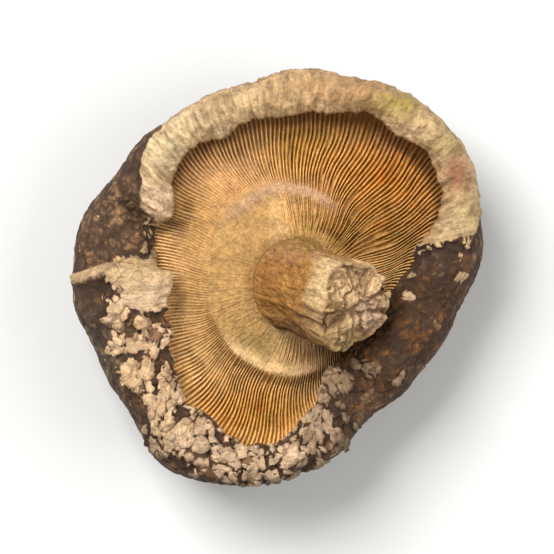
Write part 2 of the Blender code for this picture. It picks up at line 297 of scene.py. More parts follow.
def closed_mesh(name, grids, poles=None):
    """Closed skins over grids whose rows are rings. Poles close them, or the last row meets the first."""
    count, rows, columns = grids.shape[:3]
    points = grids.reshape(count, rows * columns, 3)
    index = np.arange(rows * columns).reshape(rows, columns)
    fans = np.zeros((0, 3), dtype=int)
    if poles is None:
        index = np.concatenate([index, index[:1]])
    beside = np.roll(index, -1, axis=1)
    quads = np.stack([index[:-1], beside[:-1], beside[1:], index[1:]], axis=-1).reshape(-1, 4)
    if poles is not None:
        first = np.stack([np.full(columns, rows * columns), beside[0], index[0]], axis=-1)
        last = np.stack([np.full(columns, rows * columns + 1), index[-1], beside[-1]], axis=-1)
        fans = np.concatenate([first, last])
        points = np.concatenate([points, np.reshape(poles, (count, 2, 3))], axis=1)
    shift = np.arange(count)[:, None, None] * points.shape[1]
    quads = (quads + shift).reshape(-1, 4)
    fans = (fans + shift).reshape(-1, 3)
    mesh = bpy.data.meshes.new(name)
    mesh.vertices.add(count * points.shape[1])
    mesh.vertices.foreach_set("co", points.ravel() * 0.001)
    corners = np.concatenate([quads.ravel(), fans.ravel()])
    starts = np.concatenate([np.arange(len(quads)) * 4, len(quads) * 4 + np.arange(len(fans)) * 3])
    mesh.loops.add(len(corners))
    mesh.loops.foreach_set("vertex_index", corners)
    mesh.polygons.add(len(starts))
    mesh.polygons.foreach_set("loop_start", starts)
    mesh.update(calc_edges=True)
    mesh.validate()
    mesh.shade_smooth()
    piece = bpy.data.objects.new(name, mesh)
    bpy.context.scene.collection.objects.link(piece)
    return piece


def give(piece, name, values, count=1, poles=True):
    """Stores a colour (tint), a place (lay) or a number for each vertex of a piece made of count grids.

    The values come on the same rows and columns as the points. A pole gets the mean of the ring beside it.
    """
    if not name.startswith(("tint", "lay")):
        values = values[..., None]
    grids = values.reshape((count, -1) + values.shape[-2:])
    whole = grids.reshape(count, -1, grids.shape[-1])
    if poles:
        ends = [grids[:, :1].mean(axis=2), grids[:, -1:].mean(axis=2)]
        whole = np.concatenate([whole, *ends], axis=1)
    if name.startswith("lay"):
        attribute = piece.data.attributes.new(name, "FLOAT_VECTOR", "POINT")
        attribute.data.foreach_set("vector", whole.ravel())
    elif name.startswith("tint"):
        attribute = piece.data.attributes.new(name, "FLOAT_COLOR", "POINT")
        opaque = np.ones_like(whole[..., :1])
        attribute.data.foreach_set("color", np.concatenate([whole, opaque], axis=-1).ravel())
    else:
        attribute = piece.data.attributes.new(name, "FLOAT", "POINT")
        attribute.data.foreach_set("value", whole.ravel())


def painted(base, coats):
    """A colour for each point: the base, with coat after coat laid over it by its own share from 0 to 1."""
    colour = np.array(base) + np.zeros(coats[0][1].shape + (3,))
    for coat, share in coats:
        colour = colour + np.clip(share, 0.0, 1.0)[..., None] * (np.array(coat) - colour)
    return colour


def swayed(grid, turn, roll):
    """The rim with the tear turned about the upright axis, by an angle that changes on the way in."""
    from_axis = np.hypot(grid[..., 0], grid[..., 1])
    near = smooth((turn - SWAY_FROM) / SWAY_BEGINS_OVER)
    near = near * (1.0 - smooth((turn - SWAY_TO) / SWAY_ENDS_OVER))
    sway = TEAR_STARTS - (TEAR_STARTS + TEAR_LEANS) * smooth((SWAY_OUTSIDE - from_axis) / SWAY_LENGTH)
    sway = np.where(roll > 0.0, sway, TEAR_STARTS) * near * smooth(1.0 + 1.4 * roll)
    x = grid[..., 0] * np.cos(sway) - grid[..., 1] * np.sin(sway)
    y = grid[..., 0] * np.sin(sway) + grid[..., 1] * np.cos(sway)
    return np.stack([x, y, grid[..., 2]], axis=-1)


# Roll is the way round the rim: -0.5 at the edge of the flat spot, 0 at the equator and 1 at the lip.
turn = np.arange(CAP_COLUMNS) * 2.0 * math.pi / CAP_COLUMNS
cap = cap_skeleton(turn)
row = np.arange(len(cap))[:, None]
equator = FLAT_ROWS + DOME_ROWS
lip_row = equator + ROLL_ROWS
roll = (row - equator) / np.where(row < equator, 2.0 * DOME_ROWS, ROLL_ROWS) + 0.0 * turn
cap = swayed(cap, turn, roll)

# The edge of the tear is a narrow wall of flesh from the equator to the lip, and wider near the lip.
tear_width = TEAR_WIDTH + TEAR_WIDER * np.clip(roll, 0.0, 1.0) + 0.012 * layered(cap, 0.9, 48)
from_tear = turn - TEAR_AT + 0.018 * layered(cap, 1.7, 49)
edge_of_tear = np.exp(-((from_tear / tear_width) ** 4)) * smooth((roll + 0.05) / 0.15)

# Where flesh shows. Each cell of skin has its own limit, and it has come off where the cover is above it.
ragged = np.stack([layered(cap, 2.2, seed) for seed in (11, 12, 13)], axis=-1)
border, draw = cells(cap + 1.5 * ragged, LARGE_CELL, 21)
small_border, small_draw = cells(cap + 0.8 * ragged, SMALL_CELL, 31)
blotch = smooth(0.5 + 0.9 * layered(cap, 2.0, 37))
share = around(FLESH_SHARE, turn)
solid = smooth((share - 0.84) / 0.12)
fringe = smooth((roll - around(FLESH_BEGINS, turn) - 0.14 * layered(cap, 2.6, 41)) / 0.10)
strayed = cap + 1.3 * ragged
patches = sum(bare * patch(strayed, x, y, across, along) for x, y, across, along, bare in FLESH_PATCHES)
cover = np.maximum(share * fringe, patches * smooth((roll - 0.05) / 0.2))
cover = np.maximum(cover, 0.17 * smooth((roll + 0.6) / 0.6))
limit = 0.36 * draw + 0.22 * small_draw + 0.42 * blotch
flake = smooth((cover - limit) / 0.07 + 0.5)
whole_flesh = np.maximum(solid * fringe, smooth((patches - 0.92) / 0.2) * smooth(roll / 0.3))

# Gaps run between the flakes, and open cracks show flesh in the skin of the dome.
gap_width = 0.18 + 0.46 * smooth(0.5 + layered(cap, 3.0, 43))
gap = smooth((gap_width - border) / 0.18 + 0.3) * (1.0 - 0.9 * whole_flesh)
small_gap_width = 0.38 * smooth(0.5 + layered(cap, 2.0, 47))
small_gap = smooth((small_gap_width - small_border) / 0.13 + 0.4) * (1.0 - whole_flesh)
crack_width = 0.50 * smooth((roll + 0.9) / 0.8) * (0.55 + 0.45 * blotch)
open_crack = smooth((crack_width - border) / 0.2 + 0.2)
open_crack *= smooth((0.02 - roll) / 0.15) * smooth((roll + 0.66) / 0.3)
flesh = np.maximum(flake * (1.0 - gap) * (1.0 - 0.7 * small_gap), whole_flesh)
flesh = np.maximum(np.maximum(flesh, edge_of_tear), 0.75 * open_crack)
flesh = np.clip(flesh * (row <= lip_row + LIP_ROWS), 0.0, 1.0)

# The relief: leather on the dome, raised flakes with gaps on the rim, creases and fibres in the bare flesh.
# These run over the rim, as their place goes round a ring with the angle and up slowly along the profile.
stepped = np.linalg.norm(np.diff(cap, axis=0, prepend=cap[:1]), axis=-1)
ring = np.stack([FIBRE_RING * np.cos(turn), FIBRE_RING * np.sin(turn), 0.0 * turn], axis=-1)
lengthways = ring + (0.0, 0.0, CREASE_STRETCH) * np.cumsum(stepped, axis=0)[..., None]
creases = 1.0 - np.abs(layered(lengthways + 0.35 * ragged, 0.95, 51, 2))
fibres = 1.0 - np.abs(layered(lengthways + 0.12 * ragged, 0.42, 54, 2))
wrinkles = 1.0 - np.abs(layered(cap + 1.2 * ragged, 3.2, 61))
grit = layered(cap, 0.8, 71)
on_roll = smooth((roll + 0.2) / 0.3)
thick = 0.2 + 0.8 * smooth((cover - 0.2) / 0.15)
scaly = (0.46 * flake * (1.0 - gap) + 0.22 * small_draw * flake) * thick + 0.16 * (1.0 - small_gap)
leathery = 0.55 * (wrinkles - 0.6) + 0.22 * grit
fleshy = 0.38 + 0.50 * (creases - 0.7) + 0.24 * (fibres - 0.7) + 0.12 * grit
fleshy += 0.30 * layered(cap, 2.4, 65)
relief = on_roll * (whole_flesh * fleshy + (1.0 - whole_flesh) * (scaly + 0.45 * leathery))
relief += (1.0 - on_roll) * leathery - 0.30 * open_crack + 0.45 * edge_of_tear * (1.0 - whole_flesh)
relief *= smooth((lip_row + 3 - row) / 4.0) * np.where(row < equator, smooth(cap[..., 2] / 1.6), 1.0)
hollow = spot(cap, -21.6, -1.2, 2.6, 1.4) * (1.0 - edge_of_tear) * smooth((roll + 0.1) / 0.2)
mouth_of_tear = spot(cap, -15.2, 4.2, 2.0, 1.8) * (1.0 - edge_of_tear)
relief -= 0.8 * hollow + 0.4 * mouth_of_tear
cap = cap + outward(cap) * relief[..., None]
jagged = 0.34 * layered(ring, 1.5, 45) * smooth((roll - 0.82) / 0.18) * (row <= lip_row + LIP_ROWS // 2)
cap[..., :2] += jagged[..., None] * ring[:, :2] / FIBRE_RING
cap[..., 2] = np.maximum(cap[..., 2], 0.0)
cap_piece = closed_mesh("cap", cap[None], ((0.0, 0.0, 0.0), (0.0, 0.0, GILL_FLOOR)))

# Painted shade: the gaps between the flakes, the pits in the skin, the mouth of the tear and the hollow
# beside it are darkened in the colour.
shadowed = np.maximum(gap, 0.8 * small_gap) * on_roll * (1.0 - 0.85 * edge_of_tear)
pit_shade = 0.5 * smooth((0.32 - small_border) / 0.3) * (1.0 - flesh)
crack_shade = np.maximum(shadowed, pit_shade) + 0.8 * mouth_of_tear + 0.4 * hollow
at_bottom = smooth((-12.0 - cap[..., 1]) / 5.0)
flesh_tint = painted(
    (0.56, 0.37, 0.19),
    (
        # the band: upper left, its left end, top, upper right and right
        ((0.62, 0.47, 0.26), spot(cap, -14.0, 16.0, 8.0, 7.0)),
        ((0.86, 0.59, 0.37), spot(cap, -15.0, 8.6, 2.4, 2.8)),
        ((0.60, 0.36, 0.165), 0.8 * spot(cap, 3.0, 23.5, 5.5, 3.0)),
        ((0.35, 0.18, 0.070), 0.85 * spot(cap, 10.0, 23.0, 4.5, 3.0)),
        ((0.32, 0.24, 0.045), 0.9 * spot(cap, 14.5, 21.2, 3.2, 1.7)),
        ((0.42, 0.32, 0.12), 0.7 * spot(cap, 20.5, 17.0, 2.0, 2.4)),
        ((0.26, 0.075, 0.038), 0.9 * spot(cap, 21.4, 12.6, 1.6, 2.3)),
        ((0.47, 0.35, 0.16), 0.8 * spot(cap, 23.4, 7.6, 2.4, 2.6)),
        # the lower half: all of it, its darker flakes, left, bottom and lower right
        ((0.64, 0.44, 0.27), smooth((2.0 - cap[..., 1]) / 6.0)),
        ((0.38, 0.24, 0.13), 0.7 * smooth((small_draw - 0.45) / 0.3) * (1.0 - whole_flesh)),
        ((0.52, 0.33, 0.165), 0.7 * spot(cap, -17.0, -11.0, 5.0, 6.0)),
        ((0.50, 0.345, 0.21), 0.8 * spot(cap, -3.0, -22.0, 7.0, 3.0)),
        ((0.120, 0.070, 0.033), 0.95 * spot(cap, 11.0, -14.5, 8.0, 9.0)),
        # lumps, painted shade in the creases, the foot of the roll with painted shade at the bottom, the
        # lip, and painted shade on the flesh under it
        ((0.43, 0.27, 0.125), 0.5 * smooth(1.3 * layered(cap, 3.4, 75))),
        ((0.24, 0.13, 0.05), 0.55 * solid * smooth((0.88 - creases) / 0.3)),
        ((0.17, 0.12, 0.07), 0.9 * smooth((0.56 - roll) / 0.35) * at_bottom),
        ((0.32, 0.18, 0.075), 0.7 * smooth((0.30 - roll) / 0.25) * solid),
        ((0.27, 0.14, 0.05), 0.6 * smooth((roll - 0.93) / 0.07) * solid),
        ((0.36, 0.21, 0.095), 0.7 * smooth(-roll / 0.2)),
        ((0.20, 0.09, 0.03), smooth((row - lip_row - 1) / 3.0) + 0.0 * roll),
    ),
)
pale_fleck = 0.45 * on_roll * smooth((small_draw - 0.72) / 0.1) * smooth((blotch - 0.3) / 0.3)
skin_tint = painted(
    (0.098, 0.042, 0.019),
    (
        ((0.056, 0.024, 0.013), smooth(layered(cap, 9.0, 78))),
        ((0.114, 0.050, 0.019), on_roll),
        ((0.092, 0.036, 0.007), spot(cap, 15.0, -6.0, 9.0, 12.0)),
        ((0.056, 0.024, 0.012), 0.9 * spot(cap, 18.0, 3.0, 4.0, 3.0)),
        ((0.190, 0.105, 0.050), spot(cap, -20.0, 7.0, 5.0, 5.0)),
        ((0.125, 0.086, 0.046), spot(cap, -22.0, -9.0, 4.0, 7.0)),
        # painted shade in the hollow beside the tear
        ((0.072, 0.030, 0.007), spot(cap, -21.2, -1.6, 2.4, 1.6)),
        ((0.24, 0.145, 0.065), pale_fleck),
    ),
)
give(cap_piece, "flesh", flesh)
give(cap_piece, "crack_shade", np.clip(crack_shade, 0.0, 1.0))
give(cap_piece, "tint_flesh", flesh_tint)
give(cap_piece, "tint_skin", skin_tint)
give(cap_piece, "lay_of_rim", lengthways)


class Finish:
    """A new material, with short ways to build it. Every size is in millimetres."""

    def __init__(self, name):
        self.material = bpy.data.materials.new(name)
        self.material.use_nodes = True
        self.tree = self.material.node_tree
        self.shader = self.tree.nodes["Principled BSDF"]

    def node(self, kind, **values):
        """A new node, with each value on the input of that name, or else on the node itself."""
        new = self.tree.nodes.new(kind)
        for key, value in values.items():
            if key in new.inputs:
                new.inputs[key].default_value = value
            else:
                setattr(new, key, value)
        return new

    def join(self, source, target):
        """Links an output to an input."""
        self.tree.links.new(source, target)

    def read(self, attribute, output="Fac"):
        """One of the piece's own attributes."""
        return self.node("ShaderNodeAttribute", attribute_name=attribute).outputs[output]

    def grain(self, size, detail=4.0, roughness=0.6):
        """Noise on Object coordinates whose waves are about this long."""
        place = self.node("ShaderNodeTexCoord")
        waves = self.node("ShaderNodeTexNoise", Scale=1000.0 / size, Detail=detail, Roughness=roughness)
        self.join(place.outputs["Object"], waves.inputs["Vector"])
        return waves.outputs["Fac"]

    def laid_grain(self, attribute, size):
        """Noise on an attribute that holds places, so that its waves run the way the piece has grown."""
        waves = self.node("ShaderNodeTexNoise", Scale=1.0 / size, Detail=3.0, Roughness=0.6)
        self.join(self.read(attribute, "Vector"), waves.inputs["Vector"])
        return waves.outputs["Fac"]

    def spread(self, source, low, high, start, end):
        """Maps low..high of the source onto start..end with an even S, and holds it outside."""
        span = self.node("ShaderNodeMapRange", interpolation_type="SMOOTHSTEP")
        for key, value in (("From Min", low), ("From Max", high), ("To Min", start), ("To Max", end)):
            span.inputs[key].default_value = value
        self.join(source, span.inputs["Value"])
        return span.outputs["Result"]

    def sums(self, operation, first, second, clamp=False):
        """One arithmetic step on two values, each a socket or a plain number."""
        step = self.node("ShaderNodeMath", operation=operation, use_clamp=clamp)
        for place, value in zip(step.inputs, (first, second)):
            if isinstance(value, (int, float)):
                place.default_value = value
            else:
                self.join(value, place)
        return step.outputs[0]

    def blend(self, share, first, second):
        """Two colours, each a socket or plain numbers, blended by a share from 0 to 1."""
        mix = self.node("ShaderNodeMix", data_type="RGBA")
        self.join(share, mix.inputs["Factor"])
        for place, value in zip(mix.inputs[6:8], (first, second)):
            if isinstance(value, tuple):
                place.default_value = (*value, 1.0)
            else:
                self.join(value, place)
        return mix.outputs[2]

    def toned(self, colour, grain, low, high, dark, light):
        """A colour times a factor: low..high of the grain give dark..light."""
        step = self.node("ShaderNodeVectorMath", operation="SCALE")
        self.join(colour, step.inputs[0])
        self.join(self.spread(grain, low, high, dark, light), step.inputs["Scale"])
        return step.outputs[0]

    def bumped(self, *heights):
        """Chains one Bump node for each (height, depth) and joins the last to the shader."""
        normal = None
        for height, depth in heights:
            bump = self.node("ShaderNodeBump", Strength=1.0, Distance=depth * 0.001)
            self.join(height, bump.inputs["Height"])
            if normal is not None:
                self.join(normal, bump.inputs["Normal"])
            normal = bump.outputs["Normal"]
        self.join(normal, self.shader.inputs["Normal"])


skin = Finish("cracked_cap_skin")
speckle = skin.grain(0.5, 5.0, 0.65)
mottle = skin.grain(1.7, 5.0, 0.62)
strands = skin.laid_grain("lay_of_rim", 0.34)
brown = skin.toned(skin.read("tint_skin", "Color"), mottle, 0.30, 0.72, 0.38, 1.75)
brown = skin.toned(brown, speckle, 0.34, 0.68, 0.62, 1.45)
cream = skin.toned(skin.read("tint_flesh", "Color"), mottle, 0.30, 0.70, 0.80, 1.20)
cream = skin.toned(cream, speckle, 0.32, 0.62, 0.80, 1.12)
cream = skin.toned(cream, strands, 0.34, 0.52, 0.72, 1.06)
rough_edge = skin.sums("MULTIPLY", skin.sums("SUBTRACT", speckle, 0.5), 1.2)
edge = skin.spread(skin.sums("ADD", skin.read("flesh"), rough_edge), 0.36, 0.62, 0.0, 1.0)
# Painted shade: the colour is blended towards near black by the crack shade.
shade = skin.sums("MULTIPLY", skin.read("crack_shade"), 0.82, True)
coloured = skin.blend(shade, skin.blend(edge, brown, cream), (0.040, 0.019, 0.010))
skin.join(coloured, skin.shader.inputs["Base Color"])
skin.join(skin.spread(speckle, 0.3, 0.7, 0.55, 0.85), skin.shader.inputs["Roughness"])
skin.shader.inputs["Specular IOR Level"].default_value = 0.32
skin.bumped((mottle, 0.42), (strands, 0.16), (speckle, 0.26), (skin.grain(0.2, 3.0), 0.09))
cap_piece.data.materials.append(skin.material)
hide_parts("mushroom")
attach(cap_piece, "root")

# The loose scales. Where the skin of the rim has cracked, chips of flesh and skin have dried hard. They hold
# on by their middles, and their thin edges have curled up. Each ring of a chip has its size as a share, its
# lift, and how much of the curl it gets.
SCALES = 560
SCALES_FROM = math.radians(178)
SCALES_SPAN = math.radians(192)
SCALE_SMALLEST = 0.45
SCALE_RANGE = 0.85
SCALE_RINGS = np.array(((0.50, 0.13, 0.1), (0.97, 0.06, 1.0), (1.0, -0.10, 1.0), (0.55, -0.34, 0.2)))
SCALE_TOP = 0.15
SCALE_ROOT = -0.35
SCALE_POINTS = 11


def on_grid(grid, rows, columns):
    """The grid's values at fractional rows and columns, blended evenly from the four points round each."""
    rows = np.clip(rows, 0, len(grid) - 1.001)
    low_row, low_column = np.floor(rows).astype(int), np.floor(columns).astype(int)
    f = (rows - low_row).reshape(rows.shape + (1,) * (grid.ndim - 2))
    g = (columns - low_column).reshape(rows.shape + (1,) * (grid.ndim - 2))
    beside = (low_column + 1) % grid.shape[1]
    low_column = low_column % grid.shape[1]
    near = grid[low_row, low_column] * (1 - g) + grid[low_row, beside] * g
    far = grid[low_row + 1, low_column] * (1 - g) + grid[low_row + 1, beside] * g
    return near * (1 - f) + far * f


def loose_scales():
    """Chips laid on the cap's grid, kept only where it has flaked: points, poles, a draw, rows and columns.

    A chip is a ragged oval of rings, worked out in rows and columns of the grid. Each ring is lifted off the
    surface, and one side of the chip, at an angle of its own, curls up more.
    """
    number = np.arange(SCALES)
    draws = [scatter(np.stack([number, 0 * number, 0 * number], axis=-1), 200 + k) for k in range(8)]
    angle = SCALES_FROM + SCALES_SPAN * draws[0]
    column = angle % (2 * math.pi) / (2 * math.pi) * CAP_COLUMNS
    first = around(FLESH_BEGINS, angle)
    middle_row = equator + ROLL_ROWS * np.minimum(first - 0.12 + (1.06 - first) * draws[1], 0.97)
    kept = (on_grid(flake, middle_row, column) > 0.6) & (on_grid(whole_flesh, middle_row, column) < 0.5)
    number, column, middle_row = number[kept], column[kept], middle_row[kept]
    sizes, spin, slender, curled, curl_side = (draw[kept][:, None, None] for draw in draws[2:7])
    sizes = SCALE_SMALLEST + SCALE_RANGE * sizes**1.5
    spin = 2 * math.pi * spin
    row_step, column_step = (
        np.maximum(on_grid(np.linalg.norm(gradient, axis=-1), middle_row, column), 0.04)[:, None, None]
        for gradient in np.gradient(cap, axis=(0, 1))
    )
    bearing = np.arange(SCALE_POINTS)[None, :] * 2 * math.pi / SCALE_POINTS
    apart = 3.7 * number[:, None] + 0.0 * bearing
    wobble_at = np.stack([np.cos(bearing) + apart, np.sin(bearing) + 0.0 * apart, 0.0 * apart], axis=-1)
    wobble = 1.0 + 0.50 * noise(wobble_at, 0.55, 210)[:, None, :]
    bearing = bearing[None]
    shares, lifts, curls = SCALE_RINGS.T[:, None, :, None]
    reach = sizes * shares * wobble
    along = reach * np.cos(bearing)
    across = reach * np.sin(bearing) * (0.5 + 0.4 * slender)
    rows = middle_row[:, None, None] + (along * np.cos(spin) - across * np.sin(spin)) / row_step
    columns = column[:, None, None] + (along * np.sin(spin) + across * np.cos(spin)) / column_step
    curl = curls * 0.20 * curled * (1 + np.cos(bearing - 6 * curl_side))
    lift = (lifts + curl * sizes)[..., None]
    points = on_grid(cap, rows, columns) + lift * on_grid(faces, rows, columns)
    centre = on_grid(cap, middle_row, column)
    out = on_grid(faces, middle_row, column)
    poles = np.stack([centre + SCALE_TOP * out, centre + SCALE_ROOT * out], axis=1)
    return points, poles, draws[7][kept], rows, columns


faces = outward(cap)
scales, poles, chip_draw, scale_rows, scale_columns = loose_scales()
scale_piece = closed_mesh("rim_scales", scales, poles)
chip_draw = chip_draw[:, None, None] + 0.0 * scales[..., 0]
pale_chip = on_grid(flesh_tint, scale_rows, scale_columns)
dark_chip = 1.5 * on_grid(skin_tint, scale_rows, scale_columns)
chip_tint = pale_chip + smooth((0.12 - chip_draw) / 0.1)[..., None] * (dark_chip - pale_chip)
give(scale_piece, "tint_chip", chip_tint * (0.75 + 0.4 * chip_draw)[..., None], len(scales))

chips = Finish("dry_loose_scales")
speckle = chips.grain(0.45, 5.0, 0.65)
mottle = chips.grain(1.4)
tone = chips.toned(chips.read("tint_chip", "Color"), mottle, 0.30, 0.70, 0.80, 1.20)
chips.join(chips.toned(tone, speckle, 0.32, 0.66, 0.74, 1.15), chips.shader.inputs["Base Color"])
chips.shader.inputs["Roughness"].default_value = 0.72
chips.shader.inputs["Specular IOR Level"].default_value = 0.3
chips.bumped((mottle, 0.30), (speckle, 0.18))
scale_piece.data.materials.append(chips.material)
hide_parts("mushroom")
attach(scale_piece, "root")

# The gills. Thin, crinkled blades that hang from the flesh of the cap and run from the rim to the stem. Near
# the stem they have dried flat against each other into a smooth pale shelf with a raised edge.
#
# ACROSS and DEEP give the columns of one pleat: their place in it, and how deep they lie.
GILLS = 228
GILL_ROWS = 66
GILL_LOW = 11.0
GILL_DEPTH = 0.85
GILL_TUCK = 0.4
SHORT_GILLS = 0.85
ACROSS = np.array((-0.16, 0.0, 0.16, 0.28, 0.50, 0.72))
DEEP = np.array((0.08, 0.0, 0.08, 0.85, 1.0, 0.85))
SHELF_HEIGHT = 2.0
SHELF_RADIUS = 12.6
SHELF_FLAT_RADIUS = 12.3
SHELF_CENTRE = 1.2
SHELF_SQUEEZE = 1.19
SHELF_TOWARDS = math.radians(175)
SHELF_REACH = math.radians(128)
RIDGE_RADIUS = 11.3
RIDGE_WIDTH = 1.05
STEM_ROOT = np.array((2.3, -0.4, 12.0))
STEM_ROOT_RADIUS = 5.6


def gill_sheet():
    """One pleated sheet whose rows run in from the rim to the stem.

    Its height is the highest of the shelf, the rise to the rim and the root of the stem. The depth of the
    pleats comes off it, and fades where they are pressed flat. It returns the points, how pressed each is,
    how near the shelf's ridge, how deep in a groove, and its share of the way in.
    """
    number = np.repeat(np.arange(GILLS), len(ACROSS))
    angle = (number + np.tile(ACROSS, GILLS)) * 2.0 * math.pi / GILLS
    outline, lip, _, lip_height = rim_shape(angle % (2.0 * math.pi))
    end = gill_end(outline, lip)
    end_height = lip_height - LIP_THICKNESS - 0.6
    share = np.linspace(0.0, 1.0, GILL_ROWS)[:, None]
    out = end + (STEM_ROOT_RADIUS - GILL_TUCK - end) * share

    # Each gill bends and waves a little, alike over its whole height.
    lane = np.stack([number * 7.3 + 0.0 * out, out, 0.0 * out], axis=-1)
    drift = np.stack([number * 0.35 + 0.0 * out, out, 0.0 * out], axis=-1)
    bend = 0.035 * np.sin(3 * angle + 7 * share) * np.sin(math.pi * share)
    wave = (0.10 * layered(lane, 2.4, 81) + 0.30 * layered(drift, 6.0, 84)) / np.maximum(out, 4.0)
    wave = wave * smooth(share / 0.1)
    place = polar(out, angle + bend + wave, 0.0, (STEM_ROOT[0] * share, STEM_ROOT[1] * share))

    # The shelf is an upright oval on the side away from the stem's lean, with a ridge round its edge.
    from_shelf = np.hypot(SHELF_SQUEEZE * (place[..., 0] - SHELF_CENTRE), place[..., 1])
    from_shelf = from_shelf + 0.35 * layered(place, 3.5, 91)
    away = np.abs((angle - SHELF_TOWARDS + math.pi) % (2 * math.pi) - math.pi)
    side = smooth((SHELF_REACH - away) / 0.35)
    loosened = smooth((place[..., 0] + 1.5) / 4.0) * smooth((11.0 - from_shelf) / 1.5)
    pressed = side * smooth((SHELF_FLAT_RADIUS - from_shelf) / 0.7) * (1.0 - 0.65 * loosened)
    beside = 0.7 * smooth((17.5 - from_shelf) / 2.0) * smooth((-4.0 - place[..., 0]) / 4.0)
    pressed = np.maximum(pressed, beside)
    ridge = side * np.exp(-(((from_shelf - RIDGE_RADIUS) / RIDGE_WIDTH) ** 2))
    ridge = ridge * (0.2 + 0.8 * smooth((np.abs(place[..., 1]) - 6.0) / 3.0))
    towards = 0.5 + 0.5 * np.cos(angle - SHELF_TOWARDS)
    shelf = SHELF_HEIGHT * towards * smooth((SHELF_RADIUS - from_shelf) / 1.4 + 0.3)
    rise = (end_height - GILL_LOW) * smooth((out - end + 4.0) / 4.0)
    root = (STEM_ROOT[2] - GILL_LOW) * smooth((8.5 - out) / 2.6)

    # Of every second gill most are short, and stop on the way in.
    one_each = np.stack([number, 0 * number, 0 * number], axis=-1)
    short = (number % 2 == 1) & (scatter(one_each, 5) < SHORT_GILLS)
    stands = np.where(short, 1.0 - smooth((share - 0.45 - 0.3 * scatter(one_each, 6)) / 0.12), 1.0)
    deep = np.tile(DEEP, GILLS)[None, :]
    depth = smooth((out - STEM_ROOT_RADIUS + GILL_TUCK) / 3.0) * smooth(0.2 + (end - out) / 1.5)
    depth = depth * (1.0 - 0.96 * pressed)
    crest = 0.20 * noise(lane, 1.5, 86) + 0.11 * noise(lane, 0.6, 87) + 0.28 * layered(place, 3.0, 89)
    top = GILL_LOW + np.maximum(np.maximum(shelf, rise), root)
    top = top + crest * (1.0 - 0.75 * pressed) + 0.45 * ridge
    place[..., 2] = top - GILL_DEPTH * depth * np.maximum(deep, 0.85 * (1.0 - stands))
    return place, pressed, ridge, np.maximum(deep, 0.5 * (1.0 - stands)) * depth, share


gills, pressed, ridge, deep, inwards = gill_sheet()
under = gills[[GILL_ROWS - 1, GILL_ROWS // 2, 0]]
under[..., 2] = GILL_FLOOR - 0.6
gill_piece = closed_mesh("gills", np.concatenate([gills, under])[None])
patchy = layered(gills, 2.2, 97)
at_top = smooth((gills[..., 1] - 4.0) / 4.0)
from_stem = np.hypot(gills[..., 0] - STEM_ROOT[0], gills[..., 1] - STEM_ROOT[1])
gill_tint = painted(
    (0.74, 0.48, 0.225),
    (
        # pale at the left, orange at the upper right and the bottom
        ((0.84, 0.54, 0.26), spot(gills, -9.0, 14.0, 7.0, 5.0)),
        ((0.84, 0.57, 0.25), spot(gills, -10.5, -9.5, 4.0, 5.0)),
        ((0.64, 0.38, 0.09), spot(gills, 3.0, 16.0, 5.0, 4.0)),
        ((0.60, 0.285, 0.042), 0.95 * spot(gills, 13.0, 12.0, 10.0, 9.0)),
        ((0.65, 0.36, 0.065), 0.95 * spot(gills, -2.5, -16.0, 8.5, 4.5)),
        ((0.55, 0.34, 0.13), 0.8 * spot(gills, -10.8, 8.6, 3.0, 4.0)),
        ((0.30, 0.165, 0.022), 0.8 * spot(gills, 12.5, 5.5, 6.0, 3.5)),
        ((0.50, 0.175, 0.012), 0.9 * smooth(1.6 * patchy) * spot(gills, 14.5, 11.0, 5.0, 5.5)),
        ((0.52, 0.19, 0.015), 0.8 * smooth(1.6 * patchy) * spot(gills, -3.0, -16.0, 5.0, 2.6)),
        ((0.55, 0.24, 0.17), 0.55 * spot(gills, 14.5, 17.2, 3.0, 1.6)),
        ((0.44, 0.22, 0.06), 0.5 * smooth(layered(gills, 5.0, 95)) * (1.0 - pressed)),
        # the shelf and its ridge
        ((0.45, 0.255, 0.083), pressed * smooth((1.0 - gills[..., 0]) / 3.0)),
        ((0.28, 0.175, 0.054), 0.8 * pressed * spot(gills, -3.5, -8.0, 5.0, 3.5)),
        ((0.33, 0.205, 0.04), 0.85 * smooth(0.7 + patchy) * spot(gills, 3.8, 5.6, 3.8, 2.6)),
        ((0.47, 0.28, 0.15), ridge * smooth((gills[..., 1] - 5.0) / 3.0)),
        ((0.66, 0.42, 0.19), ridge * smooth((-5.0 - gills[..., 1]) / 3.0)),
        # painted shadow of the stem under it, partly the gills' own darker colour there; dark beside the
        # stem; painted shade in one fold; and painted shadow under the lip at the top, partly the gills' own
        # darker colour where they fold into the rim
        ((0.17, 0.088, 0.040), 0.75 * spot(gills, 4.4, -9.6, 3.4, 3.6)),
        ((0.32, 0.165, 0.045), 0.8 * smooth((7.0 - from_stem + patchy) / 1.6)),
        ((0.20, 0.09, 0.02), 0.7 * spot(gills, 1.6, 16.0, 0.3, 1.8)),
        ((0.17, 0.075, 0.02), 0.9 * smooth((0.205 - inwards) / 0.08) * at_top),
    ),
)
give(gill_piece, "deep", np.concatenate([deep, np.zeros(under.shape[:2])]), poles=False)
give(gill_piece, "tint_gill", np.concatenate([gill_tint, gill_tint[: len(under)]]), poles=False)

blades = Finish("dry_gills")
mottle = blades.grain(1.6, 5.0, 0.65)
speckle = blades.grain(0.4)
tone = blades.toned(blades.read("tint_gill", "Color"), mottle, 0.30, 0.70, 0.78, 1.22)
tone = blades.toned(tone, speckle, 0.32, 0.68, 0.84, 1.12)
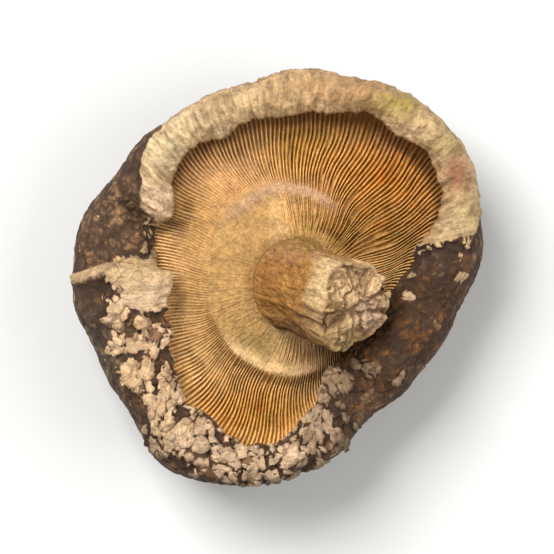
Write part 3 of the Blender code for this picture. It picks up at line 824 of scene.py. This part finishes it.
# Painted shade: the grooves between the gills are darkened by their depth.
groove = blades.sums("MULTIPLY", blades.read("deep"), 0.42, True)
blades.join(blades.blend(groove, tone, (0.56, 0.30, 0.09)), blades.shader.inputs["Base Color"])
blades.shader.inputs["Roughness"].default_value = 0.62
blades.shader.inputs["Specular IOR Level"].default_value = 0.3
blades.shader.inputs["Subsurface Weight"].default_value = 0.25
blades.shader.inputs["Subsurface Radius"].default_value = (1.0, 0.45, 0.15)
blades.shader.inputs["Subsurface Scale"].default_value = 0.0007
blades.bumped((mottle, 0.22), (speckle, 0.14))
gill_piece.data.materials.append(blades.material)
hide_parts("mushroom")
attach(gill_piece, "root")

# The stem. A short tough stalk that bends over to the right and ends where it was cut. Its flesh has shrunk
# into long lumpy fibres, orange-brown at the side, and cream at the split, ragged end.
STEM_BEND = np.array((2.8, -0.7, 15.6))
STEM_TIP = np.array((9.0, -3.2, 20.2))
STEM_WAIST_RADIUS = 4.7
STEM_TIP_RADIUS = 5.2
STEM_CUT_LIFT = 0.35
STEM_RAGGED = 0.6
STEM_END_DOME = 0.9
STEM_FOOT = 1.5
STEM_COLUMNS = 300
FOOT_RINGS = (0.3, 0.7, 1.0)
STEM_ROWS = 160
END_ROWS = 66
# Ridges down the stem: height as a share of the radius, number, start and twist.
STEM_RIDGES = ((0.07, 3, 1.3, 1.5), (0.04, 5, 0.2, -2.2), (0.03, 9, 2.0, 3.0))


def stem_ring(angle, t, radius, push=0.0):
    """A ring round the stem's path, a quadratic Bezier, with ridges added to its radius.

    It is square to the path, and turned up a little towards the cut end. Push moves it along the path.
    """
    centre = (1 - t) ** 2 * STEM_ROOT + 2 * t * (1 - t) * STEM_BEND + t * t * STEM_TIP
    along = (1 - t) * (STEM_BEND - STEM_ROOT) + t * (STEM_TIP - STEM_BEND)
    along = along / np.linalg.norm(along) + (0.0, 0.0, STEM_CUT_LIFT * smooth(2 * t - 1))
    along = along / np.linalg.norm(along)
    side = np.array((1.0, 0.0, 0.0)) - along[0] * along
    side = side / np.linalg.norm(side)
    other = np.cross(along, side)
    ridges = sum(h * np.sin(count * angle + start + twist * t) for h, count, start, twist in STEM_RIDGES)
    reach = (radius * (1.0 + ridges * smooth(3 * t)))[:, None]
    slant = np.broadcast_to(push, np.shape(angle))[:, None]
    out = np.cos(angle)[:, None] * side + np.sin(angle)[:, None] * other
    return centre + slant * along + reach * out


def stem_skeleton(angle):
    """The stem without its fibres: a flared foot, a waist, a thicker tip, and a slightly domed end."""
    ragged_end = STEM_RAGGED * (np.sin(2 * angle + 0.7) + 0.5 * np.sin(5 * angle))
    rows = [stem_ring(angle, 0.0, (STEM_ROOT_RADIUS - 0.2) * share, -STEM_FOOT) for share in FOOT_RINGS]
    for t in np.linspace(0.0, 1.0, STEM_ROWS):
        radius = STEM_WAIST_RADIUS
        radius += (STEM_ROOT_RADIUS - STEM_WAIST_RADIUS) * (1 - smooth(2.2 * t))
        radius += (STEM_TIP_RADIUS - STEM_WAIST_RADIUS) * smooth(2 * t - 1)
        rows.append(stem_ring(angle, t, radius, t**6 * ragged_end))
    for share in np.linspace(1.0, 0.02, END_ROWS + 1)[1:]:
        push = (1.0 - share**4) * STEM_END_DOME + share * ragged_end
        rows.append(stem_ring(angle, 1.0, STEM_TIP_RADIUS * share, push))
    return np.array(rows)


# Up is the way up the stem, 0 at its root and 1 at the cut. On the cut end from_centre falls from 1 to 0.
turn = np.arange(STEM_COLUMNS) * 2.0 * math.pi / STEM_COLUMNS
stem = stem_skeleton(turn)
row = np.arange(len(stem))[:, None] - len(FOOT_RINGS)
up = row / (STEM_ROWS - 1) + 0.0 * turn
from_centre = np.clip(1.0 - (row - STEM_ROWS) / END_ROWS, 0.0, 1.0)
at_end = smooth((up - 0.985) / 0.03)

# Fibres and lumps down the side, clefts over its edge, and a broken end with pits.
lane = np.stack([np.cos(turn) * 5.0 + 0.0 * up, np.sin(turn) * 5.0 + 0.0 * up, 4.0 * up], axis=-1)
fibre = 1.0 - 2.0 * np.abs(layered(lane, 1.7, 101))
fine_fibre = 1.0 - 2.0 * np.abs(layered(lane * (1.0, 1.0, 0.6), 0.7, 103))
lumps = layered(stem, 2.8, 104)
crumpled = np.stack([layered(stem, 1.8, seed) for seed in (106, 107, 108)], axis=-1)
pit, pit_draw = cells(stem + 0.9 * crumpled, 1.9, 110)
small_pit, _ = cells(stem + 0.4 * crumpled, 0.8, 115)
lobe = layered(np.stack([np.cos(turn), np.sin(turn), 0.0 * turn], axis=-1) * 2.4, 2.0, 118, 2)
cleft = smooth((0.16 - np.abs(lobe)) / 0.16) * smooth((up - 0.55) / 0.4)
cleft = cleft * smooth((from_centre - 0.15) / 0.5)
broken = 0.62 * smooth(pit / 0.7) * (0.35 + 0.65 * pit_draw) + 0.14 * smooth(small_pit / 0.3) - 0.45
fibrous = 0.40 * fibre + 0.14 * fine_fibre + 0.34 * lumps
relief = (1.0 - at_end) * fibrous + at_end * broken - 0.75 * cleft
relief *= smooth((up + 0.02) / 0.15) * smooth((len(stem) - len(FOOT_RINGS) - row) / 5.0)
stem = stem + outward(stem) * relief[..., None]
foot = stem_ring(np.zeros(1), 0.0, 0.0, -STEM_FOOT)[0]
stem_piece = closed_mesh("stem", stem[None], (foot, stem[-1].mean(axis=0)))

end_share = np.maximum(at_end, smooth((up - 0.70 + 0.12 * layered(stem, 2.0, 120)) / 0.25))
# Painted shade: the pits of the broken end, the clefts and the hollows between the fibres are darkened in
# the colour.
sunken_shade = at_end * (1.0 - smooth(pit / 0.55)) + 0.9 * cleft + (1 - at_end) * 0.55 * smooth(-0.3 - fibre)
stem_tint = painted(
    (0.32, 0.148, 0.034),
    (
        # the side
        ((0.44, 0.225, 0.052), smooth(0.3 + 1.2 * lumps)),
        ((0.30, 0.20, 0.05), 0.6 * spot(stem, 2.5, 4.6, 4.0, 1.6)),
        ((0.40, 0.20, 0.12), 0.65 * smooth(0.6 + crumpled[..., 0]) * spot(stem, 3.0, 3.4, 5.5, 1.4)),
        ((0.27, 0.095, 0.025), 0.7 * smooth(0.6 + crumpled[..., 1]) * spot(stem, -2.0, -1.5, 1.8, 3.6)),
        # painted shade on the lower side, away from the light
        ((0.13, 0.058, 0.022), 0.9 * smooth((-3.0 - stem[..., 1]) / 3.0) * (1.0 - 0.6 * end_share)),
        ((0.36, 0.195, 0.055), 0.7 * smooth((0.22 - up + 0.08 * lumps) / 0.2)),
        # the cut end
        ((0.56, 0.37, 0.18), end_share * smooth((stem[..., 1] + 7.5) / 3.0)),
        ((0.76, 0.50, 0.25), end_share * spot(stem, 9.4, -0.6, 3.6, 1.6)),
        ((0.42, 0.285, 0.12), end_share * spot(stem, 7.6, -7.4, 2.4, 1.6)),
        ((0.74, 0.48, 0.32), 0.8 * end_share * spot(stem, 11.0, -4.0, 2.2, 2.2)),
        ((0.36, 0.20, 0.08), 0.8 * end_share * spot(stem, 6.4, -3.6, 1.5, 1.6)),
    ),
)
give(stem_piece, "sunken_shade", np.clip(sunken_shade, 0.0, 1.0))
give(stem_piece, "tint_stem", stem_tint)
give(stem_piece, "lay_of_stem", lane * (1.0, 1.0, 0.8))

stalk = Finish("dry_stem")
mottle = stalk.grain(1.1, 6.0, 0.7)
speckle = stalk.grain(0.38)
strands = stalk.laid_grain("lay_of_stem", 0.30)
tone = stalk.toned(stalk.read("tint_stem", "Color"), mottle, 0.30, 0.70, 0.66, 1.30)
tone = stalk.toned(tone, speckle, 0.32, 0.68, 0.80, 1.14)
tone = stalk.toned(tone, strands, 0.32, 0.56, 0.70, 1.10)
# painted shade in pits, clefts and between the fibres
shade = stalk.sums("MULTIPLY", stalk.read("sunken_shade"), 0.72, True)
stalk.join(stalk.blend(shade, tone, (0.13, 0.060, 0.024)), stalk.shader.inputs["Base Color"])
stalk.shader.inputs["Roughness"].default_value = 0.75
stalk.shader.inputs["Specular IOR Level"].default_value = 0.25
stalk.bumped((mottle, 0.30), (strands, 0.20), (speckle, 0.16))
stem_piece.data.materials.append(stalk.material)
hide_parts("mushroom")
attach(stem_piece, "root")

# The floor and the light: a pale table, one large soft light from the upper left, and a fainter one from the
# right. These sizes are in metres.
FLOOR_REACH = 1.5
AIM_HEIGHT = 0.012

floor_corners = np.array(((-1, -1, 0), (1, -1, 0), (1, 1, 0), (-1, 1, 0))) * FLOOR_REACH
floor_mesh = bpy.data.meshes.new("floor")
floor_mesh.from_pydata(floor_corners, [], [(0, 1, 2, 3)])
floor = bpy.data.objects.new("floor", floor_mesh)
bpy.context.scene.collection.objects.link(floor)
paint = Finish("pale_floor")
tone = paint.blend(paint.grain(60.0, 2.0), (0.60, 0.60, 0.59), (0.66, 0.66, 0.65))
paint.join(tone, paint.shader.inputs["Base Color"])
paint.shader.inputs["Roughness"].default_value = 0.8
floor_mesh.materials.append(paint.material)


def soft_light(name, place, size, power):
    """A square area light at this place, turned so that it faces the mushroom."""
    data = bpy.data.lights.new(name, "AREA")
    data.shape = "SQUARE"
    data.size = size
    data.energy = power
    light = bpy.data.objects.new(name, data)
    back = np.array(place) - (0.0, 0.0, AIM_HEIGHT)
    out = back / np.linalg.norm(back)
    light.location = place
    light.rotation_euler = (math.acos(out[2]), 0.0, math.atan2(out[1], out[0]) + 0.5 * math.pi)
    bpy.context.scene.collection.objects.link(light)


soft_light("key", (-0.26, 0.30, 0.56), 0.36, 6.4)
soft_light("fill", (0.45, -0.05, 0.40), 0.45, 2.2)
world = bpy.data.worlds.new("studio")
world.use_nodes = True
world.node_tree.nodes["Background"].inputs["Color"].default_value = (1.0, 0.99, 0.97, 1.0)
world.node_tree.nodes["Background"].inputs["Strength"].default_value = 0.36
bpy.context.scene.world = world
bpy.context.scene.view_settings.view_transform = "Standard"
